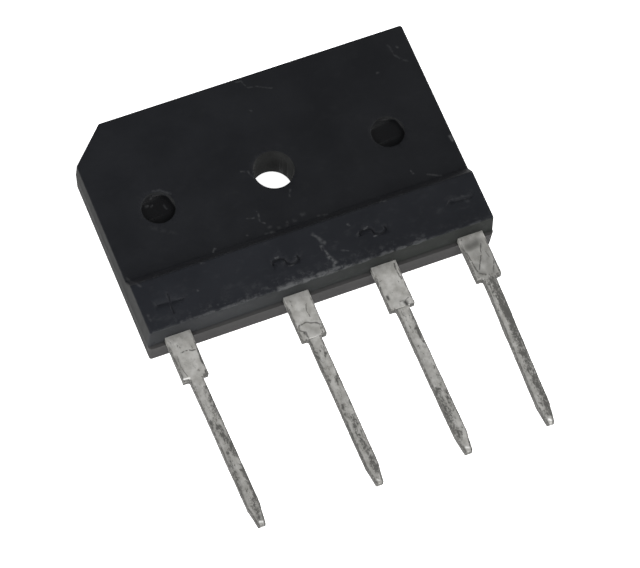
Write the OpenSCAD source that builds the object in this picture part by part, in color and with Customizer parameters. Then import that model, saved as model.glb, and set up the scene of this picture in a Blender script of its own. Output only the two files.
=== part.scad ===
// Flat single-in-line bridge rectifier: an epoxy body with a screw hole, four stamped leads,
// and the sealed bridge of four silicon diodes that the leads carry.
// The origin is the centre of the screw hole on the back (heat sink) face. +Z points out of
// the marked face, +X runs along the row of leads, and the leads point along -Y.

/* [Moulded body] */
// Width of the body from the lead side to the far side, at the parting plane
body_wid = 20; // [19.5:0.1:23]
// Thickness of the deck round the screw hole
deck_t = 3.6; // [3.5:0.05:4.2]
// Height that the strip along the lead side stands above the deck
strip_rise = 1; // [0.6:0.05:1.6]
// Distance from the lead side to the back of the strip's flat top
strip_wid = 4.5; // [3.6:0.1:5.2]
// Length of the slope from the strip down to the deck
slope_run = 1.2; // [0.6:0.1:2]
// Height of the parting plane, which is also the underside of the leads
parting_z = 2.15; // [2.05:0.05:2.35]
// Draft of the side faces, each way from the parting plane, in degrees
draft = 3; // [1:0.5:4]
// Leg of the chamfered corner over the positive lead
chamfer = 3.1; // [2:0.1:4]
// Radius of the upright corners
corner_r = 0.3; // [0.3:0.05:0.8]
// Radius of the edges round the marked face and the back face
edge_r = 0.1; // [0.06:0.02:0.16]

/* [Screw hole] */
// Diameter of the screw hole
hole_d = 3.4; // [3:0.1:3.8]
// Distance from the lead side of the body to the centre of the screw hole
hole_from_leads = 11; // [10.8:0.1:11.6]

/* [Ejector recesses] */
// Diameter of each round recess left by an ejector pin
ejector_d = 2.8; // [2:0.1:3.2]
// Depth of each recess
ejector_depth = 0.3; // [0.1:0.05:0.4]
// Distance between the centres of the two recesses
ejector_span = 20.1; // [18:0.1:22]

/* [Leads] */
// Thickness of the lead frame
lead_t = 0.7; // [0.6:0.05:0.8]
// Distance from the end of the body to the centre of the positive lead
first_lead = 2.5; // [2.45:0.05:3]
// Pitch from the positive lead to the first alternating-current lead
pitch_first = 10.16; // [10:0.02:10.3]
// Pitch between the two alternating-current leads
pitch_middle = 7.62; // [7.5:0.02:7.8]
// Pitch from the second alternating-current lead to the negative lead
pitch_last = 7.62; // [7.5:0.02:7.8]
// Distance from the centre of the negative lead to the other end of the body
last_lead = 2.1; // [1.9:0.05:2.8]
// Length of each lead outside the body
lead_len = 17.45; // [15:0.1:20]
// Length of the wide shoulder outside the body
shoulder_len = 3.85; // [3:0.1:5]
// Width of the shoulder
shoulder_wid = 2.15; // [1.8:0.05:2.4]
// Width of the narrow stem
stem_wid = 1.1; // [0.9:0.05:1.2]
// Length of the tapered tip
tip_len = 1.7; // [1:0.1:3]
// Radius of the inner corner between the shoulder and the stem
root_r = 0.15; // [0.05:0.05:0.3]
// Width of the blunt end of the tip
tip_wid = 0.5; // [0.4:0.05:0.8]
// Sideways lean of the positive lead's stem, in degrees
lean_positive = 1.2; // [-3:0.1:3]
// Sideways lean of the first alternating-current lead's stem, in degrees
lean_ac1 = 0.5; // [-3:0.1:3]
// Sideways lean of the second alternating-current lead's stem, in degrees
lean_ac2 = 0.5; // [-3:0.1:3]
// Sideways lean of the negative lead's stem, in degrees
lean_negative = -1.8; // [-3:0.1:3]

/* [Lead frame inside the body] */
// Thickness of the epoxy between the back face and the pads of the leads
pad_z = 0.9; // [0.7:0.05:1]
// Least width of epoxy between the copper and the outside of the body
side_wall = 1.4; // [1:0.1:1.5]
// Least width of epoxy between the copper and the screw hole
hole_wall = 1.4; // [1:0.1:1.5]
// Gap between neighbouring pads
pad_gap = 1.2; // [0.8:0.1:1.3]
// Depth inside the body at which the downward bend of each lead begins
bend_start = 0.6; // [0.4:0.1:0.8]
// Angle of the downward bend, in degrees
bend_angle = 50; // [40:5:60]
// Radius inside each bend
bend_r = 0.35; // [0.2:0.05:0.4]

/* [Diodes and clips] */
// Side of each square silicon die
die_side = 3.8; // [3:0.1:3.9]
// Thickness of each die
die_t = 0.35; // [0.25:0.05:0.4]
// Width of the etched groove round the top of each die
groove_wid = 0.3; // [0.2:0.05:0.45]
// Depth of the etched groove
groove_depth = 0.1; // [0.05:0.01:0.15]
// Thickness of each solder layer
solder_t = 0.1; // [0.05:0.01:0.12]
// Thickness of the copper clips
clip_t = 0.4; // [0.3:0.05:0.45]
// Width of the copper clips
clip_wid = 2.2; // [1.8:0.1:2.4]
// Height of the round boss that each clip stands on, over its die
boss_h = 0.2; // [0.1:0.02:0.25]
// Diameter of the boss
boss_d = 2.6; // [2:0.1:2.8]
// Radius inside each bend of a clip
clip_bend_r = 0.15; // [0.1:0.05:0.2]
// Length of the foot that each clip is soldered down by
foot_len = 1.6; // [1.2:0.1:1.8]
// Gap between a clip's foot and the die beside it
foot_gap = 0.9; // [0.7:0.1:1.2]
// Margin of pad round each die and foot
margin = 0.2; // [0.1:0.05:0.25]

/* [Hidden] */

epoxy = [0.14, 0.145, 0.15];
tinned = [0.72, 0.71, 0.69];
copper = [0.78, 0.47, 0.32];
silicon = [0.3, 0.32, 0.38];
solder_grey = [0.6, 0.61, 0.63];

// Margin by which a cutting tool runs past the face that it cuts
over = 1;

// Outline of the body at the parting plane: its length follows the row of leads
body_len = first_lead + pitch_first + pitch_middle + pitch_last + last_lead;
half_len = body_len / 2;
lead_side = -hole_from_leads;
far_side = body_wid - hole_from_leads;
strip_t = deck_t + strip_rise;

// Bounds of the copper inside the body
pad_x = half_len - side_wall;
pad_far = far_side - side_wall;
hole_clear = hole_d / 2 + hole_wall;
pad_chamfer = max(0, chamfer - side_wall * (2 - sqrt(2)));

// Heights of the stack on each pad
pad_top = pad_z + lead_t;
die_z = pad_top + solder_t;
die_top = die_z + die_t;
boss_z = die_top + solder_t;
clip_z = boss_z + boss_h;
foot_z = pad_top + solder_t;

// The leads' centres along the row
positive_x = first_lead - half_len;
ac1_x = positive_x + pitch_first;
ac2_x = ac1_x + pitch_middle;
negative_x = ac2_x + pitch_last;

// The downward bend of the leads, along the middle of the sheet
arc_steps = 6;
lead_bend = bend_r + lead_t / 2;
lead_drop = parting_z - pad_z;
bend_near = lead_side + bend_start;
pad_near = bend_near + step_run(lead_drop, lead_bend, bend_angle) + margin;

// The pads' edges along the row
die_pad = die_side + 2 * margin;
ac2_left = hole_clear;
ac2_right = ac2_left + die_pad;
ac1_right = ac2_left - pad_gap;
ac1_left = ac1_right - die_pad - foot_gap - foot_len;
positive_right = ac1_left - pad_gap;
negative_left = ac2_right + pad_gap;

// The dies' centres: two on the positive pad, and one on each alternating-current pad
near_row = (pad_near - hole_clear) / 2;
far_row = pad_far - die_pad / 2;
ac2_mid = (ac2_left + ac2_right) / 2;
die_at = [[positive_right - die_pad / 2, near_row],
          [positive_right - die_pad / 2, far_row],
          [ac1_right - die_pad / 2, near_row],
          [ac2_mid, 0]];

// The near end of each clip's foot along the row: each clip runs from its die to its foot in +X
foot_x = [ac1_left + margin, ac2_mid - foot_len / 2, negative_left + margin, negative_left + margin];
clip_bend = clip_bend_r + clip_t / 2;
clip_drop = clip_z - foot_z;

// Length of a step down through two bends, for the height and the radius at the sheet's middle
function step_straight(drop, r, angle) = (drop - 2 * r * (1 - cos(angle))) / sin(angle);
function step_run(drop, r, angle) = 2 * r * sin(angle) + step_straight(drop, r, angle) * cos(angle);

// Middle line of a strip that runs level, steps down and runs level again.
// Each point is [distance, height, downward slope].
function step_path(begin, end, top, drop, step_begin, r, angle) =
    let (step_end = step_begin + step_run(drop, r, angle), bottom = top - drop)
    concat(
        [[begin, top, 0]],
        [for (i = [0:arc_steps]) let (a = angle * i / arc_steps)
            [step_begin + r * sin(a), top - r * (1 - cos(a)), a]],
        [for (i = [arc_steps:-1:0]) let (a = angle * i / arc_steps)
            [step_end - r * sin(a), bottom + r * (1 - cos(a)), a]],
        [[end, bottom, 0]]
    );

// Closed section of a sheet of thickness t along a middle line
function sheet_section(path, t) = concat(
    [for (p = path) [p[0] + t / 2 * sin(p[2]), p[1] + t / 2 * cos(p[2])]],
    [for (i = [len(path) - 1:-1:0]) let (p = path[i])
        [p[0] - t / 2 * sin(p[2]), p[1] - t / 2 * cos(p[2])]]
);

// Outline of the moulding, counterclockwise from the near right corner. Each entry is a corner's
// centre, the direction from it, and the height of the top face there.
corner_steps = 4;
corner_x = half_len - corner_r;
corner_near = lead_side + corner_r;
corner_far = far_side - corner_r;
// The chamfer's corners move along by this much to keep its face in place
ease = corner_r * tan(22.5);
chamfer_x = -half_len + chamfer + ease;
chamfer_y = far_side - chamfer - ease;
strip_back = lead_side + strip_wid;
slope_foot = strip_back + slope_run;
outline = concat(
    [for (i = [0:corner_steps]) [corner_x, corner_near, 90 * i / corner_steps - 90, strip_t]],
    [[corner_x, strip_back, 0, strip_t], [corner_x, slope_foot, 0, deck_t]],
    [for (i = [0:corner_steps]) [corner_x, corner_far, 90 * i / corner_steps, deck_t]],
    [for (i = [0:corner_steps]) [chamfer_x, corner_far, 90 + 45 * i / corner_steps, deck_t]],
    [for (i = [0:corner_steps]) [-corner_x, chamfer_y, 135 + 45 * i / corner_steps, deck_t]],
    [[-corner_x, slope_foot, 180, deck_t], [-corner_x, strip_back, 180, strip_t]],
    [for (i = [0:corner_steps]) [-corner_x, corner_near, 180 + 90 * i / corner_steps, strip_t]]
);
around = len(outline);
right_back = corner_steps + 1;
left_back = around - corner_steps - 2;

// How far the draft takes a side face in from the parting plane
function inset(z) = abs(z - parting_z) * tan(draft);

// The rounded edge of the face at height z, which looks up (1) or down (-1), from the side face
// to the face, as [inset, height]
edge_steps = 3;
function edge_round(z, way) =
    let (mid_z = z - way * edge_r, mid_in = inset(mid_z) + edge_r / cos(draft))
    [for (i = [0:edge_steps]) let (a = draft + (90 - draft) * i / edge_steps)
        [mid_in - edge_r * cos(a), mid_z + way * edge_r * sin(a)]];

// Section of the side at an outline entry, from the back face up to the top face there
function side_section(top) =
    let (low = edge_round(0, -1))
    concat([for (i = [edge_steps:-1:0]) low[i]], [[0, parting_z]], edge_round(top, 1));

// The moulding without its holes: the side section carried round the outline
module moulding() {
    sections = [for (p = outline) side_section(p[3])];
    rings = len(sections[0]);
    points = [for (k = [0:rings - 1]) for (i = [0:around - 1])
        let (p = outline[i], reach = corner_r - sections[i][k][0])
        [p[0] + reach * cos(p[2]), p[1] + reach * sin(p[2]), sections[i][k][1]]];
    top = (rings - 1) * around;
    sides = [for (k = [0:rings - 2]) for (i = [0:around - 1]) let (j = (i + 1) % around)
        [k * around + i, (k + 1) * around + i, (k + 1) * around + j, k * around + j]];
    back_face = [for (i = [0:around - 1]) i];
    strip_face = concat(
        [for (i = [around - 1:-1:left_back]) top + i],
        [for (i = [right_back:-1:0]) top + i]
    );
    slope_face = [for (i = [left_back, left_back - 1, right_back + 1, right_back]) top + i];
    deck_face = [for (i = [left_back - 1:-1:right_back + 1]) top + i];
    polyhedron(points, concat(sides, [back_face, strip_face, slope_face, deck_face]));
}

module screw_hole() {
    translate([0, 0, -over])
        cylinder(h = strip_t + 2 * over, d = hole_d, $fn = 96);
}

module ejector_recess(side) {
    translate([side * ejector_span / 2, 0, deck_t - ejector_depth])
        cylinder(h = ejector_depth + over, d = ejector_d, $fn = 64);
}

module moulded_body() {
    color(epoxy)
        difference() {
            moulding();
            screw_hole();
            ejector_recess(-1);
            ejector_recess(1);
            lead_frame();
            bridge();
        }
}

// A point on the stem of a lead at x: across the stem, and along it from the shoulder's end
function on_stem(x, lean, across, along) =
    [x + across * cos(lean) + along * sin(lean),
     lead_side - shoulder_len + across * sin(lean) - along * cos(lean)];

// Blank of one lead from its tip to the start of its pad, with the stem leaning sideways
module lead_blank(x, lean) {
    stem_len = lead_len - shoulder_len;
    half_shoulder = shoulder_wid / 2;
    half_stem = stem_wid / 2;
    polygon([
        [x - half_shoulder, pad_near + margin],
        [x - half_shoulder, lead_side - shoulder_len],
        for (a = [90:-22.5:0]) on_stem(x, lean, -half_stem - root_r * (1 - cos(a)), root_r * (1 - sin(a))),
        on_stem(x, lean, -half_stem, stem_len - tip_len),
        on_stem(x, lean, -tip_wid / 2, stem_len),
        on_stem(x, lean, tip_wid / 2, stem_len),
        on_stem(x, lean, half_stem, stem_len - tip_len),
        for (a = [0:22.5:90]) on_stem(x, lean, half_stem + root_r * (1 - cos(a)), root_r * (1 - sin(a))),
        [x + half_shoulder, lead_side - shoulder_len],
        [x + half_shoulder, pad_near + margin]
    ]);
}

// A rectangle between two columns and two rows
module patch(left, right, near, far) {
    translate([left, near])
        square([right - left, far - near]);
}

// Folds a flat blank down inside the body: every lead shares this section
module formed() {
    reach = lead_side - lead_len - over;
    mid_z = parting_z + lead_t / 2;
    path = step_path(reach, pad_far + over, mid_z, lead_drop, bend_near, lead_bend, bend_angle);
    intersection() {
        linear_extrude(height = strip_t)
            children();
        rotate([90, 0, 90])
            translate([0, 0, -half_len])
                linear_extrude(height = body_len)
                    polygon(sheet_section(path, lead_t));
    }
}

module positive_lead() {
    color(tinned)
        formed() {
            lead_blank(positive_x, lean_positive);
            polygon([[-pad_x, pad_near], [positive_right, pad_near], [positive_right, pad_far],
                     [-pad_x + pad_chamfer, pad_far], [-pad_x, pad_far - pad_chamfer]]);
        }
}

module ac_lead_1() {
    color(tinned)
        formed() {
            lead_blank(ac1_x, lean_ac1);
            patch(ac1_left, ac1_right, pad_near, -hole_clear);
        }
}

module ac_lead_2() {
    color(tinned)
        formed() {
            lead_blank(ac2_x, lean_ac2);
            patch(ac2_left, ac2_right, pad_near, pad_far);
        }
}

module negative_lead() {
    color(tinned)
        formed() {
            lead_blank(negative_x, lean_negative);
            patch(negative_left, pad_x, pad_near, pad_far);
        }
}

module lead_frame() {
    positive_lead();
    ac_lead_1();
    ac_lead_2();
    negative_lead();
}

// A block of a given side centred on a point, standing on height z
module block(at, side, z, t) {
    translate([at[0] - side / 2, at[1] - side / 2, z])
        cube([side, side, t]);
}

// Silicon die with the etched groove round its top
module diode(n) {
    color(silicon) {
        block(die_at[n], die_side, die_z, die_t - groove_depth);
        block(die_at[n], die_side - 2 * groove_wid, die_z, die_t);
    }
}

module solder_below(n) {
    color(solder_grey)
        block(die_at[n], die_side, pad_top, solder_t);
}

// The solder above a die covers the boss of its clip
module solder_above(n) {
    color(solder_grey)
        translate([die_at[n][0], die_at[n][1], die_top])
            cylinder(h = solder_t, d = boss_d, $fn = 48);
}

// Copper clip from the top of a die to the foot on the next lead
module clip(n) {
    at = die_at[n];
    back = at[0] - boss_d / 2;
    step_begin = foot_x[n] - step_run(clip_drop, clip_bend, bend_angle);
    mid_z = clip_z + clip_t / 2;
    path = step_path(back, foot_x[n] + foot_len, mid_z, clip_drop, step_begin, clip_bend, bend_angle);
    color(copper) {
        translate([0, at[1] + clip_wid / 2, 0])
            rotate([90, 0, 0])
                linear_extrude(height = clip_wid)
                    polygon(sheet_section(path, clip_t));
        translate([at[0], at[1], boss_z])
            cylinder(h = boss_h + clip_t, d = boss_d, $fn = 48);
    }
}

module foot_solder(n) {
    color(solder_grey)
        translate([foot_x[n], die_at[n][1] - clip_wid / 2, pad_top])
            cube([foot_len, clip_wid, solder_t]);
}

module bridge() {
    for (n = [0:3]) {
        diode(n);
        solder_below(n);
        solder_above(n);
        clip(n);
        foot_solder(n);
    }
}

moulded_body();
positive_lead();
ac_lead_1();
ac_lead_2();
negative_lead();
diode(0);  // diode_1
diode(1);  // diode_2
diode(2);  // diode_3
diode(3);  // diode_4
solder_below(0);  // diode_1_solder_below
solder_below(1);  // diode_2_solder_below
solder_below(2);  // diode_3_solder_below
solder_below(3);  // diode_4_solder_below
solder_above(0);  // diode_1_solder_above
solder_above(1);  // diode_2_solder_above
solder_above(2);  // diode_3_solder_above
solder_above(3);  // diode_4_solder_above
clip(0);  // clip_1
clip(1);  // clip_2
clip(2);  // clip_3
clip(3);  // clip_4
foot_solder(0);  // clip_1_foot_solder
foot_solder(1);  // clip_2_foot_solder
foot_solder(2);  // clip_3_foot_solder
foot_solder(3);  // clip_4_foot_solder
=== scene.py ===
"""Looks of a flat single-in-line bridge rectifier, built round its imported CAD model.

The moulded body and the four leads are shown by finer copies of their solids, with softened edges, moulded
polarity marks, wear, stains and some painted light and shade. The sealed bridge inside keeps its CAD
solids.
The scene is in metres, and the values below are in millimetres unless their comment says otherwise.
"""

import math

import bmesh
import bpy
from mathutils import Matrix, Vector, noise


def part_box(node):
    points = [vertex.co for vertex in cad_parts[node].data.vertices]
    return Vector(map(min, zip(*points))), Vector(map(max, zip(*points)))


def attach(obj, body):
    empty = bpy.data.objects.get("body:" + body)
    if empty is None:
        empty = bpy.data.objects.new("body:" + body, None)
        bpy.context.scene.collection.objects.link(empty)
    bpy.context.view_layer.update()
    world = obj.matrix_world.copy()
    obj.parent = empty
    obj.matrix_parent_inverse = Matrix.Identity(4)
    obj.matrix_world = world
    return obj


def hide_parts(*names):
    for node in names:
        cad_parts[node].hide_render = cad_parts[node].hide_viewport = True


MM = 0.001

# The moulding, in millimetres, as in the CAD part
HALF_LEN = 15.0
FACE_Y = -11.0
BACK_Y = 9.0
CHAMFER = 3.1
DECK_T = 3.6
STRIP_T = 4.6
SLOPE_TOP_Y = -6.5
SLOPE_RUN = 1.2
PARTING_Z = 2.15
HOLE_R = 1.7
EJECTOR_R = 1.4
EJECTOR_X = 10.05

# How far the upper mould half stands back at the parting line, and the edge over the leads that this leaves
SET_BACK = 0.28
EDGE_Y = -10.65
EDGE_Z = 4.55

# The leads outside the body, in millimetres, as in the CAD part
LEAD_LEN = 17.45
LEAD_T = 0.7
SHOULDER_LEN = 3.85
SHOULDER_HALF = 1.075
STEM_HALF = 0.55
TIP_LEN = 1.7
TIP_HALF = 0.25

# Wear of the shapes, in millimetres: softened edges, the flash, the chips of the edge over the leads,
# and the slow and quick unevenness of the leads as size and amount
HOLE_RIM = 0.06
EJECTOR_RIM = 0.05
LEAD_EDGE = 0.09
FLASH = 0.015
CHIP_DEPTH = 0.2
CHIP_REACH = 0.5
LEAD_SLOW = (2.2, 0.03)
LEAD_QUICK = (0.35, 0.022)

# Seed of the noise that moves the leads. Blender takes the time of day for it otherwise, and with 0.
NOISE_SEED = 1

# How far the moulded signs are turned on the real part, in degrees
SIGN_TURN = -5

# The softboxes, in metres and watts, and the middle of the part that they face
SOFTBOX_SIZE = 0.5
SOFTBOX_POWER = 8
AIM = (0, -0.009, 0.002)

# Each lead: its x at the body in millimetres, and the sideways lean of its stem in degrees
LEADS = {
    "positive_lead": (-12.5, 1.2),
    "ac_lead_1": (-2.34, 0.5),
    "ac_lead_2": (5.28, 0.5),
    "negative_lead": (12.9, -1.8),
}

# Wear on the marked face, and painted highlights on the rims of the moulded signs, as lines: points (x, y),
# width and strength
SCRATCHES_AND_GLINTS = [
    # the long scratch over the strip, widest at its foot
    ([(0.5, -7.0), (0.9, -7.6), (1.1, -8.1)], 0.24, 0.6),
    ([(0.8, -8.3), (0.9, -8.8), (1.0, -9.4)], 0.24, 0.9),
    ([(1.0, -9.4), (1.2, -9.8), (1.3, -10.0), (1.1, -10.3)], 0.32, 1.1),
    # beyond the screw hole
    ([(0.0, 8.6), (0.5, 8.6), (0.7, 7.9), (1.8, 7.5), (2.6, 7.1)], 0.1, 0.3),
    ([(0.2, 5.8), (0.3, 5.7)], 0.12, 0.3),
    ([(13.1, 7.5), (13.3, 6.4), (14.1, 5.5)], 0.14, 0.22),
    ([(13.7, 7.1), (13.8, 7.0)], 0.14, 0.35),
    ([(11.3, 5.4), (11.4, 5.4)], 0.14, 0.3),
    # round the screw hole
    ([(-2.6, 0.7), (-2.1, 0.6), (-1.8, -0.1)], 0.14, 0.35),
    ([(0.5, -2.2), (0.3, -2.7)], 0.12, 0.3),
    ([(-2.7, -3.1), (-2.8, -4.0), (-2.5, -4.3)], 0.13, 0.4),
    ([(-3.7, -3.4), (-3.1, -3.6)], 0.12, 0.35),
    # along the foot of the slope
    ([(-2.3, -4.8), (-2.2, -4.8)], 0.26, 0.28),
    ([(-1.6, -5.1), (-1.5, -5.1)], 0.24, 0.24),
    ([(-0.9, -5.0), (-0.8, -4.9)], 0.26, 0.28),
    ([(-0.2, -4.9), (-0.1, -4.9)], 0.24, 0.24),
    ([(0.6, -4.6), (0.8, -4.6)], 0.26, 0.28),
    ([(1.8, -5.2), (2.5, -5.3)], 0.16, 0.3),
    ([(-2.8, -5.2), (-2.1, -5.3)], 0.16, 0.34),
    ([(-4.3, -4.8), (-4.2, -4.8)], 0.14, 0.4),
    ([(10.4, -4.0), (10.5, -4.3)], 0.14, 0.45),
    ([(11.6, -4.8), (12.6, -5.3)], 0.14, 0.35),
    # on the ends and on the strip
    ([(-14.7, -5.0), (-14.5, -5.5), (-14.1, -6.6)], 0.16, 0.4),
    ([(14.7, -2.2), (14.8, -2.6)], 0.26, 0.9),
    ([(6.8, -6.2), (7.2, -6.3)], 0.14, 0.45),
    ([(8.6, -6.1), (8.7, -6.2)], 0.14, 0.35),
    ([(2.2, -9.2), (2.7, -9.4)], 0.12, 0.35),
    ([(5.3, -10.5), (5.4, -10.5)], 0.14, 0.35),
    ([(12.4, -8.1), (13.4, -8.4)], 0.5, 0.12),
    ([(13.1, -7.9), (13.5, -8.8)], 0.2, 0.22),
    ([(-14.5, -9.2), (-14.4, -9.6)], 0.22, 0.3),
    ([(-10.0, -8.4), (-9.9, -8.5)], 0.14, 0.6),
    ([(3.5, -7.2), (3.6, -7.3)], 0.16, 0.6),
    ([(-8.8, -6.3), (-8.6, -6.4)], 0.16, 0.4),
    ([(-7.4, -5.2), (-7.1, -5.0)], 0.14, 0.7),
    ([(-6.1, -9.9), (-5.3, -9.7)], 0.6, 0.16),
    # light caught by the rims of the moulded signs
    ([(-3.1, -8.0), (-2.8, -8.0)], 0.1, 0.9),
    ([(-2.3, -9.0), (-1.9, -9.0)], 0.1, 0.9),
    ([(4.6, -8.0), (4.9, -8.0)], 0.1, 0.8),
    ([(5.1, -8.9), (5.6, -8.9)], 0.1, 0.8),
    # round the ejector recess over the positive lead
    ([(-10.0, 1.6), (-9.3, 1.5), (-8.7, 0.9)], 0.16, 0.26),
    ([(-11.3, -1.4), (-9.5, -2.7)], 0.3, 0.1),
]
# Specks on the floor of that recess
SPECKS = [
    ([(-10.9, 0.6), (-10.8, 0.6)], 0.2, 0.3),
    ([(-10.5, 0.4), (-10.4, 0.5)], 0.16, 0.3),
    ([(-9.5, 0.3), (-9.4, -0.1)], 0.16, 0.24),
    ([(-10.3, 1.1), (-10.2, 1.2)], 0.16, 0.24),
]
# The rubbed edge over the leads: from x, to x, width and strength
EDGE_WEAR = [
    (-14.6, -12.6, 0.12, 0.2), (-12.2, -9.8, 0.14, 0.5), (-9.7, -6.8, 0.18, 0.6), (-6.6, -4.2, 0.16, 0.55),
    (-3.8, -1.2, 0.36, 1.0), (-1.0, 1.8, 0.34, 0.9), (1.8, 3.2, 0.26, 0.8), (3.4, 6.0, 0.2, 0.6),
    (6.4, 8.9, 0.18, 0.5), (9.2, 14.4, 0.12, 0.25),
]

# Wear on each lead, as lines: points (across the lead from its middle, along it from the body), width and
# strength. Cracks are dark hairlines in the tin, and stains are where the dark mottling lies.
CRACKS = {
    "positive_lead": [
        ([(-0.35, 1.4), (0.25, 1.4), (1.0, 1.6)], 0.1, 1.0),
        ([(-0.75, 1.6), (-0.8, 2.6), (-0.6, 3.5)], 0.08, 0.7),
        ([(1.0, 1.6), (0.95, 2.5), (0.96, 3.3), (0.88, 3.8)], 0.16, 1.0),
        ([(0.4, 3.3), (0.45, 3.35)], 0.12, 0.8),
    ],
    "ac_lead_1": [
        ([(0.46, 0.8), (0.25, 1.5), (0.35, 2.0)], 0.08, 0.8),
        ([(1.1, 0.9), (1.1, 2.2), (1.0, 2.5)], 0.1, 0.9),
        ([(-0.8, 2.5), (-0.2, 2.4), (0.6, 2.7), (0.8, 2.9), (0.76, 3.8)], 0.1, 0.9),
        ([(-0.8, 2.5), (-0.95, 2.9), (-0.5, 3.2), (-0.5, 3.8)], 0.12, 0.9),
        ([(-0.64, 3.2), (-0.6, 3.3)], 0.22, 1.0),
        ([(0.5, 2.7), (0.95, 3.0), (0.9, 3.4)], 0.1, 0.8),
    ],
    "ac_lead_2": [
        ([(0.86, 0.0), (0.77, 0.6), (0.9, 1.5)], 0.12, 0.9),
        ([(-0.9, 1.1), (-0.7, 1.1)], 0.08, 0.6),
        ([(-0.8, 2.6), (-0.8, 2.8)], 0.24, 1.0),
        ([(0.0, 3.3), (0.4, 3.4), (0.8, 3.2)], 0.08, 0.7),
        ([(0.4, 3.5), (0.45, 3.8)], 0.32, 1.0),
    ],
    "negative_lead": [
        ([(0.5, 0.8), (0.1, 1.8), (-0.5, 2.9)], 0.1, 0.9),
        ([(-0.9, 1.2), (-0.8, 2.4), (-0.7, 3.2), (-0.2, 3.5)], 0.12, 0.9),
        ([(0.6, 1.6), (0.7, 2.1)], 0.1, 0.6),
        ([(0.9, 2.6), (0.5, 3.5)], 0.1, 0.8),
    ],
}
STAINS = {
    "positive_lead": [
        ([(0.5, 4.9), (0.5, 7.6)], 0.45, 0.9),
        ([(-0.3, 8.0), (0.2, 9.5), (0.4, 11.2)], 0.6, 1.0),
        ([(-0.2, 10.8), (-0.3, 12.6), (-0.4, 14.6)], 0.3, 0.8),
        ([(0.5, 12.2), (0.4, 13.6), (0.5, 15.9)], 0.4, 1.0),
        ([(0.0, 15.3), (0.1, 16.8)], 0.4, 0.9),
    ],
    "ac_lead_1": [
        ([(-0.5, 4.2), (-0.35, 7.9)], 0.3, 0.6),
        ([(0.3, 4.9), (0.24, 5.6)], 0.25, 0.8),
        ([(0.4, 7.5), (0.2, 8.3)], 0.35, 0.9),
        ([(-0.2, 10.2), (-0.2, 10.4)], 0.3, 0.9),
        ([(0.1, 11.2), (0.0, 12.8), (0.15, 14.6), (0.2, 16.4)], 0.5, 1.0),
        ([(-0.5, 11.7), (-0.55, 16.0)], 0.2, 0.9),
    ],
    "ac_lead_2": [
        ([(0.4, 4.3), (0.34, 5.4), (0.4, 7.3)], 0.35, 0.9),
        ([(0.26, 7.7), (0.26, 7.8)], 0.25, 0.8),
        ([(-0.3, 11.6), (-0.3, 13.5), (-0.24, 16.1)], 0.45, 1.0),
        ([(0.3, 11.8), (0.3, 13.7)], 0.3, 0.8),
    ],
    "negative_lead": [
        ([(0.1, 3.9), (0.2, 5.6), (0.3, 7.9), (0.3, 10.2)], 0.75, 1.5),
        ([(0.27, 10.3), (0.2, 12.6), (0.24, 14.5), (0.2, 16.5)], 0.7, 1.2),
    ],
}
# Soft grey patches, and painted highlights: small near-white glints where the steps and the tips catch
# light
SHADES = {
    "positive_lead": [([(-0.9, 1.6), (-0.9, 3.4)], 0.35, 0.5)],
    "ac_lead_1": [([(-0.3, 3.2), (0.4, 3.4)], 0.5, 0.25)],
    "ac_lead_2": [([(-0.2, 3.2), (0.4, 3.4)], 0.5, 0.25)],
    "negative_lead": [
        ([(-0.45, 0.75), (0.25, 0.65)], 0.95, 1.15), ([(-0.2, 1.4), (0.1, 2.4)], 1.3, 0.6),
        ([(0.6, 1.6), (0.4, 3.6)], 1.2, 0.65), ([(-0.6, 2.6), (-0.4, 3.4)], 0.8, 0.65),
    ],
}
GLINTS = {
    "positive_lead": [([(-0.95, 3.65), (-0.5, 3.7)], 0.12, 1.0), ([(-0.1, 17.15), (0.1, 17.2)], 0.14, 0.7)],
    "ac_lead_1": [([(-0.1, 17.1), (0.0, 17.2)], 0.12, 0.5)],
    "ac_lead_2": [([(-0.1, 17.0), (0.1, 17.1)], 0.15, 0.6)],
    "negative_lead": [([(-0.05, 17.1), (0.05, 17.2)], 0.16, 0.9)],
}


# ---------------------------------------------------------------- node helpers

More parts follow.
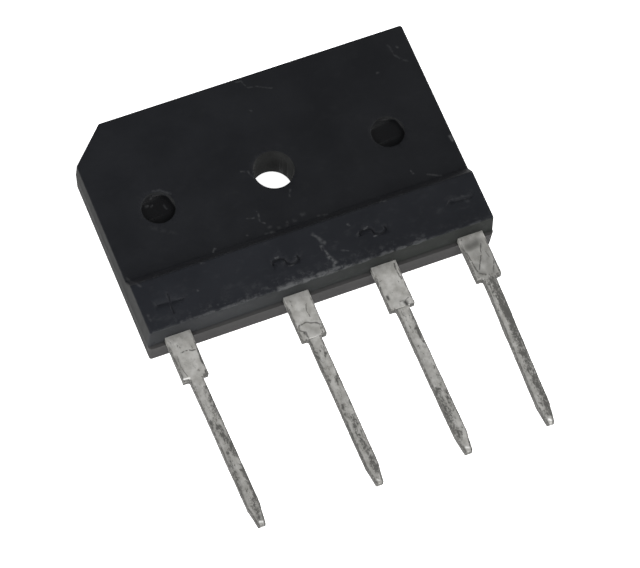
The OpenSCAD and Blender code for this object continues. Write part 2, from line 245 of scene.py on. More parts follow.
class Nodes:
    """Builds one material's node tree with short calls. Places and sizes in it are in millimetres."""

    def __init__(self, name):
        self.material = bpy.data.materials.new(name)
        self.material.use_nodes = True
        self.tree = self.material.node_tree
        self.shader = self.tree.nodes["Principled BSDF"]
        coordinates = self.add("ShaderNodeTexCoord")
        self.place = self.scale(coordinates.outputs["Object"], 1 / MM)
        self.facing = coordinates.outputs["Normal"]

    def add(self, kind, **settings):
        node = self.tree.nodes.new(kind)
        for key, value in settings.items():
            setattr(node, key, value)
        return node

    def link(self, value, socket):
        """Feeds a socket from another socket, or sets its number or colour."""
        if isinstance(value, bpy.types.NodeSocket):
            self.tree.links.new(value, socket)
        else:
            socket.default_value = value

    def math(self, operation, a, b=0.0, clamp=False):
        node = self.add("ShaderNodeMath", operation=operation, use_clamp=clamp)
        self.link(a, node.inputs[0])
        self.link(b, node.inputs[1])
        return node.outputs[0]

    def times(self, *factors):
        """The product of several masks."""
        total = factors[0]
        for factor in factors[1:]:
            total = self.math("MULTIPLY", total, factor)
        return total

    def most(self, *masks):
        """The largest of several masks."""
        total = masks[0]
        for mask in masks[1:]:
            total = self.math("MAXIMUM", total, mask)
        return total

    def vector(self, operation, a, b=(0, 0, 0), value=False):
        node = self.add("ShaderNodeVectorMath", operation=operation)
        self.link(a, node.inputs[0])
        self.link(b, node.inputs[1])
        return node.outputs["Value" if value else "Vector"]

    def scale(self, vector, factor):
        node = self.add("ShaderNodeVectorMath", operation="SCALE")
        self.link(vector, node.inputs[0])
        node.inputs["Scale"].default_value = factor
        return node.outputs["Vector"]

    def axes(self, source):
        node = self.add("ShaderNodeSeparateXYZ")
        self.link(source, node.inputs[0])
        return node.outputs[0], node.outputs[1], node.outputs[2]

    def join(self, x=0.0, y=0.0, z=0.0):
        node = self.add("ShaderNodeCombineXYZ")
        for value, socket in zip((x, y, z), node.inputs):
            self.link(value, socket)
        return node.outputs[0]

    def ramp(self, value, low, high, to_low=0.0, to_high=1.0):
        """A smooth step: to_low up to low, to_high from high on."""
        node = self.add("ShaderNodeMapRange", interpolation_type="SMOOTHSTEP")
        for i, v in enumerate((value, low, high, to_low, to_high)):
            self.link(v, node.inputs[i])
        return node.outputs[0]

    def noise(self, size, detail=4.0, rough=0.5, stretch=(1, 1, 1), shift=0.0, color=False):
        """Noise whose features are about size across."""
        mapping = self.add("ShaderNodeMapping")
        self.link(self.place, mapping.inputs["Vector"])
        mapping.inputs["Scale"].default_value = [s / size for s in stretch]
        mapping.inputs["Location"].default_value = (shift, shift * 0.7, shift * 1.3)
        node = self.add("ShaderNodeTexNoise")
        self.link(mapping.outputs[0], node.inputs["Vector"])
        node.inputs["Scale"].default_value = 1.0
        node.inputs["Detail"].default_value = detail
        node.inputs["Roughness"].default_value = rough
        return node.outputs["Color" if color else "Fac"]

    def wander(self, source, size, amount, shift=0.0):
        """Coordinates pushed about by noise, so that a line drawn in them is uneven."""
        cloud = self.noise(size, detail=3, shift=shift, color=True)
        offset = self.vector("SUBTRACT", cloud, (0.5, 0.5, 0.5))
        return self.vector("ADD", source, self.scale(offset, amount))

    def strokes(self, lines, place):
        """The strongest of several lines at each point. A line is points, a width and a strength."""
        tree = bpy.data.node_groups.get("stroke") or stroke_group()
        flat = self.vector("MULTIPLY", place, (1, 1, 0))
        total = 0.0
        for points, width, strength in lines:
            for start, end in zip(points, points[1:]):
                node = self.add("ShaderNodeGroup", node_tree=tree)
                self.link(flat, node.inputs["Place"])
                node.inputs["Start"].default_value = (*start, 0)
                node.inputs["Span"].default_value = (end[0] - start[0], end[1] - start[1], 0)
                node.inputs["Width"].default_value = width
                node.inputs["Strength"].default_value = strength
                self.link(total, node.inputs["Total"])
                total = node.outputs[0]
        return total

    def mix(self, factor, a, b):
        node = self.add("ShaderNodeMix", data_type="RGBA")
        self.link(factor, node.inputs["Factor"])
        for value, socket in ((a, node.inputs[6]), (b, node.inputs[7])):
            self.link(value if isinstance(value, bpy.types.NodeSocket) else (*value, 1.0), socket)
        return node.outputs[2]

    def blend(self, factor, a, b):
        node = self.add("ShaderNodeMix", data_type="FLOAT")
        self.link(factor, node.inputs["Factor"])
        self.link(a, node.inputs[2])
        self.link(b, node.inputs[3])
        return node.outputs[0]

    def bump(self, height, distance, strength=1.0):
        node = self.add("ShaderNodeBump")
        node.inputs["Strength"].default_value = strength
        node.inputs["Distance"].default_value = distance * MM
        self.link(height, node.inputs["Height"])
        return node.outputs[0]

    def set(self, color, roughness, specular=0.5, metallic=0.0, normal=None):
        self.link(color, self.shader.inputs["Base Color"])
        self.link(roughness, self.shader.inputs["Roughness"])
        self.link(metallic, self.shader.inputs["Metallic"])
        self.shader.inputs["Specular IOR Level"].default_value = specular
        if normal is not None:
            self.link(normal, self.shader.inputs["Normal"])


def stroke_group():
    """A node group: the larger of Total and a line's mask, Strength on the line and 0 past Width from it.

    Each node is made after those that feed it, and none of them clamps by itself, because Cycles would then
    hold every line of a long list in its small working memory at once.
    """
    tree = bpy.data.node_groups.new("stroke", "ShaderNodeTree")
    for name in ("Place", "Start", "Span", "Width", "Strength", "Total"):
        kind = "Vector" if name in ("Place", "Start", "Span") else "Float"
        tree.interface.new_socket(name, in_out="INPUT", socket_type="NodeSocket" + kind)
    tree.interface.new_socket("Mask", in_out="OUTPUT", socket_type="NodeSocketFloat")
    given = tree.nodes.new("NodeGroupInput").outputs

    def node(kind, *sources, **settings):
        made = tree.nodes.new(kind)
        for key, value in settings.items():
            setattr(made, key, value)
        for source, socket in sources:
            tree.links.new(source, made.inputs[socket])
        return made.outputs

    def vector(operation, a, b):
        second = "Scale" if operation == "SCALE" else 1
        return node("ShaderNodeVectorMath", (a, 0), (b, second), operation=operation)

    away = vector("SUBTRACT", given["Place"], given["Start"])["Vector"]
    shadow = vector("DOT_PRODUCT", away, given["Span"])["Value"]
    length = vector("DOT_PRODUCT", given["Span"], given["Span"])["Value"]
    along = node("ShaderNodeMath", (shadow, 0), (length, 1), operation="DIVIDE")[0]
    along = node("ShaderNodeMath", (along, 0), operation="MAXIMUM")[0]
    along.node.inputs[1].default_value = 0.0
    along = node("ShaderNodeMath", (along, 0), operation="MINIMUM")[0]
    along.node.inputs[1].default_value = 1.0
    reach = vector("DISTANCE", away, vector("SCALE", given["Span"], along)["Vector"])["Value"]
    fade = node("ShaderNodeMapRange", (reach, 0), (given["Width"], 1), interpolation_type="SMOOTHSTEP")[0]
    fade.node.inputs[2].default_value = 0.0
    line = node("ShaderNodeMath", (fade, 0), (given["Strength"], 1), operation="MULTIPLY")[0]
    mask = node("ShaderNodeMath", (line, 0), (given["Total"], 1), operation="MAXIMUM")[0]
    tree.links.new(mask, tree.nodes.new("NodeGroupOutput").inputs["Mask"])
    return tree


# ---------------------------------------------------------------- materials

def epoxy_material():
    """Black moulding compound: smooth clouded faces, dull sides, and every scratch and rub that shows, with
    painted light on the sides and the slope, painted shade in the ejector recesses and along the ledge, and
    painted highlights on the rims of the signs.
    """
    n = Nodes("black_epoxy")
    x, y, z = n.axes(n.place)
    upward = n.axes(n.facing)[2]
    on_top = n.ramp(upward, 0.4, 0.8)
    ledge = n.times(n.ramp(y, -10.2, -10.5), n.ramp(z, 3.4, 3.0))
    on_side = n.most(n.ramp(n.math("ABSOLUTE", upward), 0.6, 0.3), ledge)
    flat = n.wander(n.join(x, y), 0.5, 0.34)

    # Two tones of filler cloud, bluer and lighter on the strip. The slope and the sides get lighter tones
    # as painted light, and everything is darker towards the +x end
    cloud = n.noise(4, detail=5)
    grain = n.noise(0.2, detail=3)
    tone = n.times(n.ramp(cloud, 0.3, 0.7), 0.35)
    tone = n.math("ADD", tone, n.times(n.noise(0.7, detail=5, rough=0.6), 0.4))
    tone = n.math("ADD", tone, n.times(grain, 0.3))
    deck = n.mix(tone, (0.0056, 0.0062, 0.0078), (0.0110, 0.0119, 0.0144))
    strip = n.mix(tone, (0.0084, 0.0094, 0.0122), (0.0148, 0.0163, 0.0205))
    on_strip = n.ramp(z, STRIP_T - 0.15, STRIP_T - 0.03)
    color = n.mix(on_strip, deck, strip)
    # Painted light: the slope gets a lighter tone than the deck
    slope = n.times(n.ramp(upward, 0.95, 0.8), n.ramp(z, DECK_T, DECK_T + 0.1))
    slope = n.times(slope, n.ramp(y, -7.0, -6.9), on_top)
    color = n.mix(slope, color, n.mix(tone, (0.0110, 0.0115, 0.0138), (0.0172, 0.0180, 0.0208)))
    # Painted light: the sides get a lighter tone than the top, besides their duller finish
    matt = n.ramp(n.noise(0.5, detail=6, rough=0.6), 0.3, 0.7)
    side = n.mix(matt, (0.0195, 0.0200, 0.0200), (0.0270, 0.0276, 0.0272))
    color = n.mix(on_side, color, side)
    color = n.mix(n.ramp(x, -12.0, 9.0, 0.0, 0.24), color, (0.0, 0.0, 0.0))

    # The front: bluish over the parting line at one end, greenish at the other, and a line of painted shade
    # in the concave corner along the ledge
    upper = n.mix(n.ramp(x, -12.0, 9.0), (0.0270, 0.0284, 0.0310), (0.0190, 0.0208, 0.0192))
    front = n.mix(n.ramp(z, PARTING_Z, PARTING_Z + 0.1), (0.0445, 0.0430, 0.0428), upper)
    corner_shade_reach = n.vector("DISTANCE", n.join(0.0, y, z), (0, FACE_Y + SET_BACK, PARTING_Z + 0.04), value=True)
    front = n.mix(n.times(n.ramp(corner_shade_reach, 0.12, 0.03), ledge, 0.2), front, (0.006, 0.006, 0.006))
    color = n.mix(n.times(n.ramp(y, -10.3, -10.6), on_side, 0.85), color, front)

    # Soft grey rubs, mostly on the strip and close to its edge, and the scratches seen one by one, with the
    # painted highlights on the rims of the signs drawn among them
    chew = n.noise(0.7, detail=7, rough=0.65, stretch=(0.7, 1, 1), shift=1.5)
    rub = n.ramp(n.noise(1.1, detail=8, rough=0.62, stretch=(1, 1.6, 1), shift=7.0), 0.52, 0.74)
    rub = n.times(rub, n.ramp(y, -4.5, -9.0, 0.02, 0.1))
    smear = n.ramp(n.noise(0.5, detail=8, rough=0.7, shift=5.0), 0.5, 0.66)
    smear = n.times(smear, n.ramp(y, -9.3, -10.5))
    broken = n.ramp(n.noise(0.3, detail=5, shift=3.0), 0.3, 0.62)
    scratches_and_glints = n.times(n.strokes(SCRATCHES_AND_GLINTS, flat), broken, on_top, 0.8)

    # The rubbed and chipped edge over the leads
    lines = [([(start, 0.0), (end, 0.0)], width, strength) for start, end, width, strength in EDGE_WEAR]
    gap = n.vector("DISTANCE", n.join(0.0, y, z), (0, EDGE_Y, EDGE_Z), value=True)
    ragged = n.math("SUBTRACT", gap, n.times(n.math("SUBTRACT", chew, 0.5), 0.6))
    along_edge = n.strokes([(points, 2.2, strength) for points, _, strength in lines], n.join(x, 0.0))
    smear = n.times(smear, along_edge, on_strip, 0.42)
    edge = n.times(n.strokes(lines, n.join(x, ragged)), n.ramp(chew, 0.34, 0.58))

    # The two ejector recesses: a smooth floor painted darker as shade in the hollow, one of them with
    # specks
    centre = n.vector("DISTANCE", n.join(n.math("ABSOLUTE", x), y), (EJECTOR_X, 0, 0), value=True)
    floor = n.ramp(centre, EJECTOR_R, EJECTOR_R - 0.06)
    floor = n.times(floor, n.ramp(z, DECK_T - 0.15, DECK_T - 0.2), on_top)
    # Painted shade: the recess floors are coloured darker than the deck
    color = n.mix(floor, color, (0.0030, 0.0032, 0.0038))
    specks = n.times(n.strokes(SPECKS, flat), broken, floor)

    # Pale wear and the painted highlights on the sign rims, all in one light grey
    light = n.most(rub, smear, scratches_and_glints, edge, specks)
    color = n.mix(light, color, (0.085, 0.087, 0.09))
    rough = n.blend(floor, n.ramp(cloud, 0.3, 0.7, 0.55, 0.65), 0.5)
    rough = n.math("ADD", rough, n.math("MULTIPLY", n.most(on_side, light), 0.3), clamp=True)
    height = n.math("ADD", n.times(grain, 0.4), n.times(chew, 0.6))
    n.set(color, rough, specular=0.15, normal=n.bump(height, 0.006, 0.7))
    return n.material


def tin_material(lead, shift):
    """Matt tin on one lead: cloudy, with cracks on the shoulder and dark mottled stains along the stem,
    walls darkened partly by painted shade, and painted highlights at the step and the tip.
    """
    n = Nodes(lead + "_tin")
    x, y, _ = n.axes(n.place)
    upward = n.axes(n.facing)[2]
    middle, lean = LEADS[lead]
    along = n.math("SUBTRACT", FACE_Y, y)
    past_shoulder = n.math("MAXIMUM", n.math("SUBTRACT", along, SHOULDER_LEN), 0.0)
    bend = n.times(past_shoulder, math.tan(math.radians(lean)))
    across = n.math("SUBTRACT", n.math("SUBTRACT", x, middle), bend)
    spot = n.join(across, along)
    flat = n.wander(spot, 0.4, 0.35, shift)

    cloud = n.noise(0.8, detail=6, rough=0.62, shift=shift)
    on_stem = n.ramp(along, SHOULDER_LEN - 0.2, SHOULDER_LEN + 0.6)
    color = n.mix(n.ramp(cloud, 0.3, 0.7), (0.41, 0.402, 0.375), (0.57, 0.562, 0.54))
    color = n.mix(n.times(on_stem, 0.16), color, (0.2, 0.198, 0.19))
    shade = n.strokes(SHADES[lead], n.wander(spot, 0.8, 0.3, shift + 1))
    color = n.mix(n.times(shade, 0.8), color, (0.13, 0.129, 0.12))

    # Mottling: soft grey streaks with black specks in them, rare on the clean parts and dense in the stains
    stain = n.strokes(STAINS[lead], flat)
    streak = n.noise(0.5, detail=8, rough=0.74, stretch=(1.0, 0.45, 1.0), shift=shift + 4.0)
    speck = n.noise(0.13, detail=5, rough=0.65, stretch=(1.0, 0.55, 1.0), shift=shift + 9.0)
    level = n.math("ADD", streak, n.math("ADD", n.times(stain, 0.2), n.ramp(on_stem, 0, 1, -0.03, 0.04)))
    soft = n.most(n.ramp(level, 0.48, 0.74), n.times(stain, n.ramp(streak, 0.38, 0.54), 0.75))
    deep = n.ramp(n.math("ADD", n.times(level, 0.5), n.times(speck, 0.5)), 0.565, 0.635)

    # The sheared walls are dull and darker, partly bare sheared metal and partly painted shade, and a
    # ragged dark line runs round the edge of the face
    wall = n.ramp(upward, 0.6, 0.35)
    past = n.math("ABSOLUTE", across)
    half = n.ramp(along, SHOULDER_LEN - 0.02, SHOULDER_LEN + 0.02, SHOULDER_HALF, STEM_HALF)
    tip = n.math("MAXIMUM", n.math("SUBTRACT", along, LEAD_LEN - TIP_LEN), 0.0)
    half = n.math("SUBTRACT", half, n.times(tip, (STEM_HALF - TIP_HALF) / TIP_LEN))
    ends = n.math("ABSOLUTE", n.math("SUBTRACT", along, SHOULDER_LEN))
    ends = n.math("ADD", ends, n.ramp(past, STEM_HALF - 0.05, STEM_HALF + 0.05, 9.0, 0.0))
    inside = n.math("MINIMUM", n.math("SUBTRACT", half, past), ends)
    inside = n.math("ADD", inside, n.times(n.math("SUBTRACT", streak, 0.5), 0.45))
    rim = n.times(n.ramp(inside, 0.17, 0.05), n.ramp(speck, 0.3, 0.55, 0.3, 1.0))
    rim = n.times(rim, n.ramp(along, 0.1, 0.9, 0.2, 1.0))
    crack = n.strokes(CRACKS[lead], n.wander(spot, 0.3, 0.16, shift))
    crack = n.times(crack, n.ramp(n.noise(0.3, detail=3, shift=shift), 0.3, 0.48))
    dark = n.most(n.times(deep, 0.75), crack, n.times(rim, 0.85))
    color = n.mix(n.times(soft, 0.65), color, (0.14, 0.138, 0.128))
    # Painted shade, along with the bare metal's own dullness: the walls are darkened
    color = n.mix(n.times(wall, n.ramp(streak, 0.35, 0.6, 0.3, 0.85)), color, (0.1, 0.098, 0.09))
    color = n.mix(dark, color, (0.04, 0.039, 0.036))
    # Painted highlights: near-white glints at the steps and the tips
    glint = n.strokes(GLINTS[lead], n.wander(spot, 0.3, 0.1, shift))
    color = n.mix(glint, color, (0.9, 0.9, 0.88))

    dull = n.most(dark, n.times(soft, 0.5), wall)
    rough = n.blend(dull, n.ramp(cloud, 0.3, 0.7, 0.42, 0.56), 0.8)
    metal = n.blend(n.most(dull, glint), 0.55, 0.1)
    height = n.math("ADD", n.noise(0.1, detail=4), n.times(dark, -0.8))
    n.set(color, rough, specular=0.3, metallic=metal, normal=n.bump(height, 0.008, 0.8))
    return n.material


def plain_metal(name, low, high, size, rough, metallic=1.0):
    """A clouded metal for the parts sealed in the moulding."""
    n = Nodes(name)
    cloud = n.noise(size, detail=5)
    n.set(n.mix(n.ramp(cloud, 0.3, 0.7), low, high), n.ramp(cloud, 0.3, 0.7, rough, rough + 0.12),
          metallic=metallic, normal=n.bump(n.noise(size * 0.2, detail=3), size * 0.01, 0.4))
    return n.material


# ---------------------------------------------------------------- shapes

def solid_copy(node, name):
    """A closed copy of a CAD node's mesh, with the split corners joined again."""
    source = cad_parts[node]
    mesh = source.data.copy()
    piece = bpy.data.objects.new(name, mesh)
    bpy.context.scene.collection.objects.link(piece)
    bm = bmesh.new()
    bm.from_mesh(mesh)
    bmesh.ops.remove_doubles(bm, verts=bm.verts, dist=1e-7)
    bm.to_mesh(mesh)
    bm.free()
    mesh.materials.clear()
    return piece


def slice_faces(bm, faces, axis, places):
    """Cuts faces with planes across an axis at places, in millimetres."""
    geometry = set(faces)
    for face in faces:
        geometry.update(face.edges)
        geometry.update(face.verts)
    geometry = list(geometry)
    for place in places:
        point = [0.0, 0.0, 0.0]
        normal = [0.0, 0.0, 0.0]
        point[axis] = place * MM
        normal[axis] = 1.0
        made = bmesh.ops.bisect_plane(bm, geom=geometry, plane_co=point, plane_no=normal, dist=1e-8)
        geometry = made["geom"]


def steps_between(low, high, step):
    """Evenly spaced places from low to high, about step apart."""
    count = max(1, round((high - low) / step))
    return [low + (high - low) * i / count for i in range(1, count)]


def apply_modifiers(piece):
    """Turns a piece's modifiers into its mesh."""
    depsgraph = bpy.context.evaluated_depsgraph_get()
    mesh = bpy.data.meshes.new_from_object(piece.evaluated_get(depsgraph))
    piece.modifiers.clear()
    piece.data = mesh


def new_piece(name, vertices, faces):
    """A closed mesh with its faces turned outwards."""
    mesh = bpy.data.meshes.new(name)
    mesh.from_pydata(vertices, [], faces)
    piece = bpy.data.objects.new(name, mesh)
    bpy.context.scene.collection.objects.link(piece)
    bm = bmesh.new()
    bm.from_mesh(mesh)
    bmesh.ops.recalc_face_normals(bm, faces=bm.faces)
    bm.to_mesh(mesh)
    bm.free()
    return piece


def ribbon_outline(path, half):
    """The outline at half a width from a path in the plane, with round ends."""
    left, right = [], []
    for i, p in enumerate(path):
        before, after = path[max(i - 1, 0)], path[min(i + 1, len(path) - 1)]
        along = (after - before).normalized()
        side = Vector((-along.y, along.x))
        left.append(p + side * half)
        right.append(p - side * half)

    def cap(centre, along):
        turn = math.atan2(along.y, along.x)
        angles = [turn + math.pi / 2 - math.pi * k / 6 for k in range(1, 6)]
        return [centre + Vector((math.cos(a), math.sin(a))) * half for a in angles]

    end = cap(path[-1], (path[-1] - path[-2]).normalized())
    start = cap(path[0], (path[0] - path[1]).normalized())
    return left + end + right[::-1] + start


def groove_cutter(name, path, width, depth, surface):
    """A tool that cuts a groove with sloping walls along a path in the plane at height surface."""
    levels = [(surface + 0.1, 1.25), (surface, 1.05), (surface - 0.03, 0.9), (surface - depth, 0.45)]
    path = [Vector(p) for p in path]
    outlines = [ribbon_outline(path, width / 2 * share) for _, share in levels]
    count = len(outlines[0])
    vertices = []
    for outline, (level, _) in zip(outlines, levels):
        vertices += [Vector((p.x, p.y, level)) * MM for p in outline]
    faces = [tuple(range(count)), tuple(range(len(vertices) - count, len(vertices)))]
    for k in range(len(levels) - 1):
        for i in range(count):
            j = (i + 1) % count
            faces.append((k * count + i, k * count + j, (k + 1) * count + j, (k + 1) * count + i))
    return new_piece(name, vertices, faces)


def cut(piece, tools):
    """Cuts the tools out of a piece, one after another, and removes the tools."""
    for tool in tools:
        modifier = piece.modifiers.new(tool.name, "BOOLEAN")
        modifier.operation = "DIFFERENCE"
        modifier.solver = "EXACT"
        modifier.object = tool
    apply_modifiers(piece)
    for tool in tools:
        bpy.data.objects.remove(tool)


def smooth(piece, angle=32):
    """Smooth shading over gentle bends, with flat faces kept flat."""
    for polygon in piece.data.polygons:
        polygon.use_smooth = True
    piece.data.set_sharp_from_angle(angle=math.radians(angle))
    piece.modifiers.new("weighted_normals", "WEIGHTED_NORMAL").keep_sharp = True
    apply_modifiers(piece)


def show(piece, node, material):
    """Puts a finished piece in place of its CAD node."""
    piece.data.materials.clear()
    piece.data.materials.append(material)
    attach(piece, "root")
    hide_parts(node)


def tilde_path(half=1.08, rise=0.35, steps=16):
    """The sine-like sign for alternating current: one crest and one trough, with upright ends."""
    left = [(-half / 2 - half / 2 * math.cos(a), rise * math.sin(a))
            for a in (math.pi * k / steps for k in range(-1, steps))]
    right = [(half / 2 - half / 2 * math.cos(a), -rise * math.sin(a))
             for a in (math.pi * k / steps for k in range(0, steps + 3))]
    return left + right


def turned(points, x, y):
    """A sign's points turned a little and put at (x, y)."""
    turn = Matrix.Rotation(math.radians(SIGN_TURN), 2)
    return [turn @ Vector(p) + Vector((x, y)) for p in points]


def polarity_cutters():
    """The moulded signs over the leads: plus, two alternating signs and a shallow minus."""
    plus, minus = (-12.35, -8.65), (12.95, -8.25)
    return [
        groove_cutter("plus_across", turned([(-1.07, 0), (0, 0), (1.07, 0)], *plus), 0.24, 0.07, STRIP_T),
        groove_cutter("plus_upright", turned([(0, -1.0), (0, 0), (0, 0.75)], *plus), 0.24, 0.07, STRIP_T),
        groove_cutter("tilde_1", turned(tilde_path(), -2.38, -8.5), 0.26, 0.1, STRIP_T),
        groove_cutter("tilde_2", turned(tilde_path(), 5.2, -8.45), 0.26, 0.1, STRIP_T),
        groove_cutter("minus", turned([(-0.85, 0), (0, 0), (0.85, 0)], *minus), 0.22, 0.02, STRIP_T),
    ]


def soften_rim(bm, centre, radius, width):
    """Bevels the rim of a round hole in the deck."""
    def on_rim(vertex):
        x, y, z = vertex.co / MM
        return abs(z - DECK_T) < 0.001 and abs(math.hypot(x - centre[0], y - centre[1]) - radius) < 0.02

    rim = [e for e in bm.edges if all(on_rim(v) for v in e.verts) and e.calc_face_angle(0) > 0.5]
    bmesh.ops.bevel(bm, geom=rim, offset=width * MM, segments=2, profile=0.5, affect="EDGES")


def on_envelope(point):
    """Whether a point in millimetres lies on the moulding's outer sides, which lean by less than near."""
    x, y, _ = point
    near = 0.4
    at_corner = x < CHAMFER + near - HALF_LEN and y > BACK_Y - CHAMFER - near
    on_chamfer = at_corner and y - x > HALF_LEN + BACK_Y - CHAMFER - 0.5
    return abs(x) > HALF_LEN - near or y > BACK_Y - near or y < FACE_Y + near or on_chamfer


def slope_shift(y):
    """How far the real rounded slope stands above the CAD part's straight one."""
    t = (y - SLOPE_TOP_Y) / SLOPE_RUN
    if not 0 < t < 1:
        return 0.0
    s = min(max((t - 0.19) / 0.78, 0), 1)
    return t - 0.7 * s - 0.3 * s * s * (3 - 2 * s)


def set_back(x, y, z):
    """How far the upper mould half stands back from the lower one along the front, less towards the top."""
    if z < PARTING_Z + 0.03:
        return 0.0
    depth = min(max(FACE_Y + 1 - y, 0), 1)
    corner = min((HALF_LEN + 0.4 - abs(x)) / 0.8, 1)
    height = (z - PARTING_Z) / (STRIP_T - PARTING_Z)
    return SET_BACK * depth * corner * (1 - 0.45 * height)


def edge_wear(x):
    """How hard the edge over the leads is rubbed at x, from 0 to 1."""
    return max([0.1] + [strength for start, end, _, strength in EDGE_WEAR if start - 0.2 < x < end + 0.2])


def wear_body(bm):
    """Moves the fine mesh: the rounded slope, a ragged flash at the parting line, and the chipped edge."""
    for vertex in bm.verts:
        x, y, z = vertex.co / MM
        straight = STRIP_T - min(max((y - SLOPE_TOP_Y) / SLOPE_RUN, 0), 1) * (STRIP_T - DECK_T)
        if z > 3.0:
            lift = slope_shift(y) * min((z - 3.0) / (straight - 3.0), 1)
            vertex.co.z += lift * MM
        if abs(z - PARTING_Z) < 0.001 and on_envelope((x, y, z)):
            ragged = 0.5 + 0.9 * noise.noise(Vector((x, y, 4.0)) * 1.7)
            ragged += 0.5 * noise.noise(Vector((x, y, 9.0)) * 5.0)
            out = Vector((vertex.normal.x, vertex.normal.y, 0)).normalized()
            vertex.co += out * min(max(ragged, 0.1), 1.2) * FLASH * MM
        back = set_back(x, y, z)
        vertex.co.y += back * MM
        gap = math.hypot(y + back - EDGE_Y, z - EDGE_Z)
        if gap < CHIP_REACH and z > 3.9:
            chew = 0.5 * max(0.0, noise.noise(Vector((x * 1.6, 3.0, 0.0))))
            chew += max(0.0, noise.noise(Vector((x * 5.0, y * 3, z * 3))))
            vertex.co -= vertex.normal * chew * (1 - gap / CHIP_REACH) * edge_wear(x) * CHIP_DEPTH * MM


def make_body():
    """The moulding with its signs, cut into fine faces only where wear shows."""
    piece = solid_copy("moulded_body", "body_shell")
    cut(piece, polarity_cutters())

    bm = bmesh.new()
    bm.from_mesh(piece.data)
    bmesh.ops.remove_doubles(bm, verts=bm.verts, dist=1e-6)
    soften_rim(bm, (0, 0), HOLE_R, HOLE_RIM)
    soften_rim(bm, (-EJECTOR_X, 0), EJECTOR_R, EJECTOR_RIM)
    soften_rim(bm, (EJECTOR_X, 0), EJECTOR_R, EJECTOR_RIM)

    def picked(test):
        return [f for f in bm.faces if test(f.calc_center_median() / MM)]

    def big_face(p):
        return p.z > 3.3 or p.z < 0.1

    def lip(p):
        return p.y < -10.3 and p.z > 3.9

    slice_faces(bm, picked(big_face), 0, steps_between(-HALF_LEN, HALF_LEN, 0.6))
    slice_faces(bm, picked(big_face), 1, steps_between(FACE_Y, BACK_Y, 0.6))
    slope = [SLOPE_TOP_Y - 0.1 + 0.1 * i for i in range(15)]
    slice_faces(bm, picked(lambda p: p.z > 3.0 and -7 < p.y < -5), 1, slope)
    levels = [0.3, 1.2, PARTING_Z - 0.04, PARTING_Z, PARTING_Z + 0.04, 3.0, 3.4, 4.3]
    slice_faces(bm, picked(on_envelope), 2, levels)
    slice_faces(bm, picked(on_envelope), 0, steps_between(-HALF_LEN, HALF_LEN, 0.3))
    slice_faces(bm, picked(on_envelope), 1, steps_between(FACE_Y, BACK_Y, 0.3))
    slice_faces(bm, picked(lip), 0, steps_between(-HALF_LEN, HALF_LEN, 0.1))
    slice_faces(bm, picked(lip), 1, [-10.75, -10.65, -10.55, -10.45, -10.35])
    slice_faces(bm, picked(lip), 2, [4.05, 4.15, 4.25, 4.35, 4.42])
    bmesh.ops.remove_doubles(bm, verts=bm.verts, dist=1e-6)
    bm.normal_update()
    wear_body(bm)
    bm.to_mesh(piece.data)
    bm.free()
    smooth(piece)
    show(piece, "moulded_body", epoxy)
    return piece


def make_lead(name, seed):
    """One lead with softened stamped edges, cut into short lengths and worked a little out of true."""
    piece = solid_copy(name, name + "_worn")
    bevel = piece.modifiers.new("edges", "BEVEL")
    bevel.width = LEAD_EDGE * MM
    bevel.segments = 3
    bevel.limit_method = "ANGLE"
    bevel.angle_limit = math.radians(30)
    apply_modifiers(piece)

    bm = bmesh.new()
    bm.from_mesh(piece.data)
    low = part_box(name)[0].y / MM
    middle = (PARTING_Z + LEAD_T / 2) * MM
    start, lean = LEADS[name][0], math.tan(math.radians(LEADS[name][1]))
    outside = [f for f in bm.faces if min(v.co.y for v in f.verts) < (FACE_Y - 0.1) * MM]
    slice_faces(bm, outside, 1, steps_between(low, FACE_Y - 0.2, 0.25))
    shift = Vector((seed * 11.3, seed * 3.1, 0))
    for vertex in bm.verts:
        out = min(max((FACE_Y - 0.1 - vertex.co.y / MM) / 0.5, 0), 1)
        move = Vector((0, 0, 0))
        for size, amount in (LEAD_SLOW, LEAD_QUICK):
            move += noise.noise_vector(vertex.co / (size * MM) + shift) * amount * out * MM
        vertex.co += Vector((move.x, move.y * 0.3, move.z * 0.5))
        pinch = min(max((low + 1.5 - vertex.co.y / MM) / 1.5, 0), 1) ** 2
        vertex.co.z += (middle - vertex.co.z) * pinch * 0.2
        axis = (start + lean * (FACE_Y - SHOULDER_LEN - vertex.co.y / MM)) * MM
        vertex.co.x += (vertex.co.x - axis) * pinch * 0.3
    bm.to_mesh(piece.data)
    bm.free()
    smooth(piece, 40)
    show(piece, name, tin_material(name, seed * 2.7))
    return piece


# ---------------------------------------------------------------- stage

def make_camera():
    """A long lens looking down on the marked face, from beyond the leads and a little to the left."""
    data = bpy.data.cameras.new("camera")
    data.sensor_width = 36.0
    data.lens = 227.781
    data.clip_start = 0.01
    data.clip_end = 10.0
    camera = bpy.data.objects.new("camera", data)
    camera.location = Vector((-67.34, -138.289, 295.114)) * MM
    camera.rotation_euler = [math.radians(a) for a in (26.1243, -2.874, -21.9094)]
    bpy.context.scene.collection.objects.link(camera)
    bpy.context.scene.camera = camera


def add_light(name, place):
    """A square softbox that faces the part."""
    data = bpy.data.lights.new(name, "AREA")
    data.shape = "SQUARE"
    data.size = SOFTBOX_SIZE
    data.energy = SOFTBOX_POWER
    light = bpy.data.objects.new(name, data)
    light.location = place
    light.rotation_euler = (Vector(AIM) - Vector(place)).to_track_quat("-Z", "Y").to_euler()
    bpy.context.scene.collection.objects.link(light)


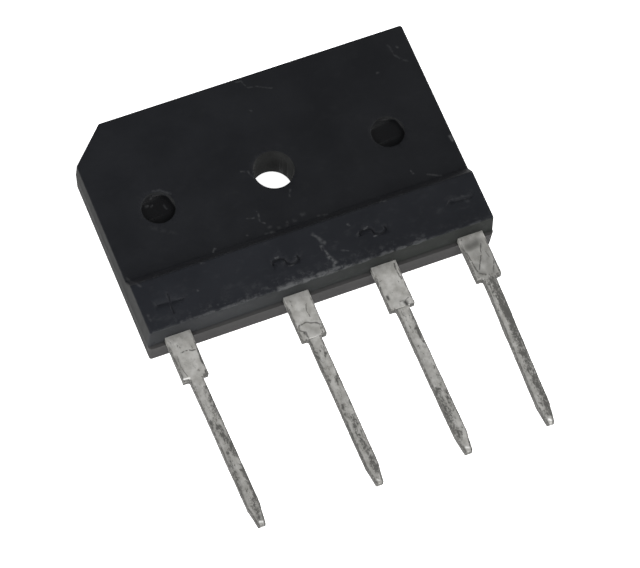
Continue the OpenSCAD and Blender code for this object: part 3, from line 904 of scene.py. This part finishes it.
def make_stage():
    """A white floor that glows, a faint white world and three softboxes."""
    mesh = bpy.data.meshes.new("floor")
    half = 3.0
    corners = [(-half, -half, 0), (half, -half, 0), (half, half, 0), (-half, half, 0)]
    mesh.from_pydata(corners, [], [(0, 1, 2, 3)])
    floor = bpy.data.objects.new("floor", mesh)
    bpy.context.scene.collection.objects.link(floor)
    n = Nodes("pale_floor")
    n.set(n.mix(n.noise(50), (0.88, 0.88, 0.88), (0.92, 0.92, 0.92)), 0.9)
    n.shader.inputs["Emission Color"].default_value = (1, 1, 1, 1)
    n.shader.inputs["Emission Strength"].default_value = 1.0
    mesh.materials.append(n.material)

    world = bpy.data.worlds.new("studio")
    bpy.context.scene.world = world
    world.use_nodes = True
    world.node_tree.nodes["Background"].inputs["Color"].default_value = (1, 1, 1, 1)
    world.node_tree.nodes["Background"].inputs["Strength"].default_value = 0.12
    bpy.context.scene.view_settings.view_transform = "Standard"

    add_light("left_softbox", (-0.9, 0.0, 0.55))
    add_light("right_softbox", (0.9, 0.1, 0.55))
    add_light("near_softbox", (0.0, -0.9, 0.6))


# ---------------------------------------------------------------- the part

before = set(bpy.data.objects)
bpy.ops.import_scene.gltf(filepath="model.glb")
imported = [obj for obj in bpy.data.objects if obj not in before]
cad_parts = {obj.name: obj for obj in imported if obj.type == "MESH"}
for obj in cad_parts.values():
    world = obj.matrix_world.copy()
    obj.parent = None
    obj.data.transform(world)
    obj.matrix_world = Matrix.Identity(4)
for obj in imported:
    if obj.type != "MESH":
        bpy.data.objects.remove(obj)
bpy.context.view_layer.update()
noise.seed_set(NOISE_SEED)

epoxy = epoxy_material()
copper = plain_metal("bare_copper", (0.72, 0.36, 0.23), (0.8, 0.45, 0.3), 1.0, 0.3)
silicon = plain_metal("silicon", (0.06, 0.065, 0.08), (0.09, 0.095, 0.12), 0.8, 0.15, 0.6)
solder = plain_metal("solder", (0.42, 0.43, 0.45), (0.55, 0.56, 0.57), 0.5, 0.3)
tin = plain_metal("tin_inside", (0.42, 0.41, 0.39), (0.5, 0.49, 0.47), 1.0, 0.45, 0.6)

for name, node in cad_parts.items():
    if name == "moulded_body":
        material = epoxy
    elif name in LEADS:
        material = tin
    elif "solder" in name:
        material = solder
    elif name.startswith("clip"):
        material = copper
    else:
        material = silicon
    node.data.materials.clear()
    node.data.materials.append(material)

make_body()
for index, name in enumerate(LEADS):
    make_lead(name, index)

make_camera()
make_stage()
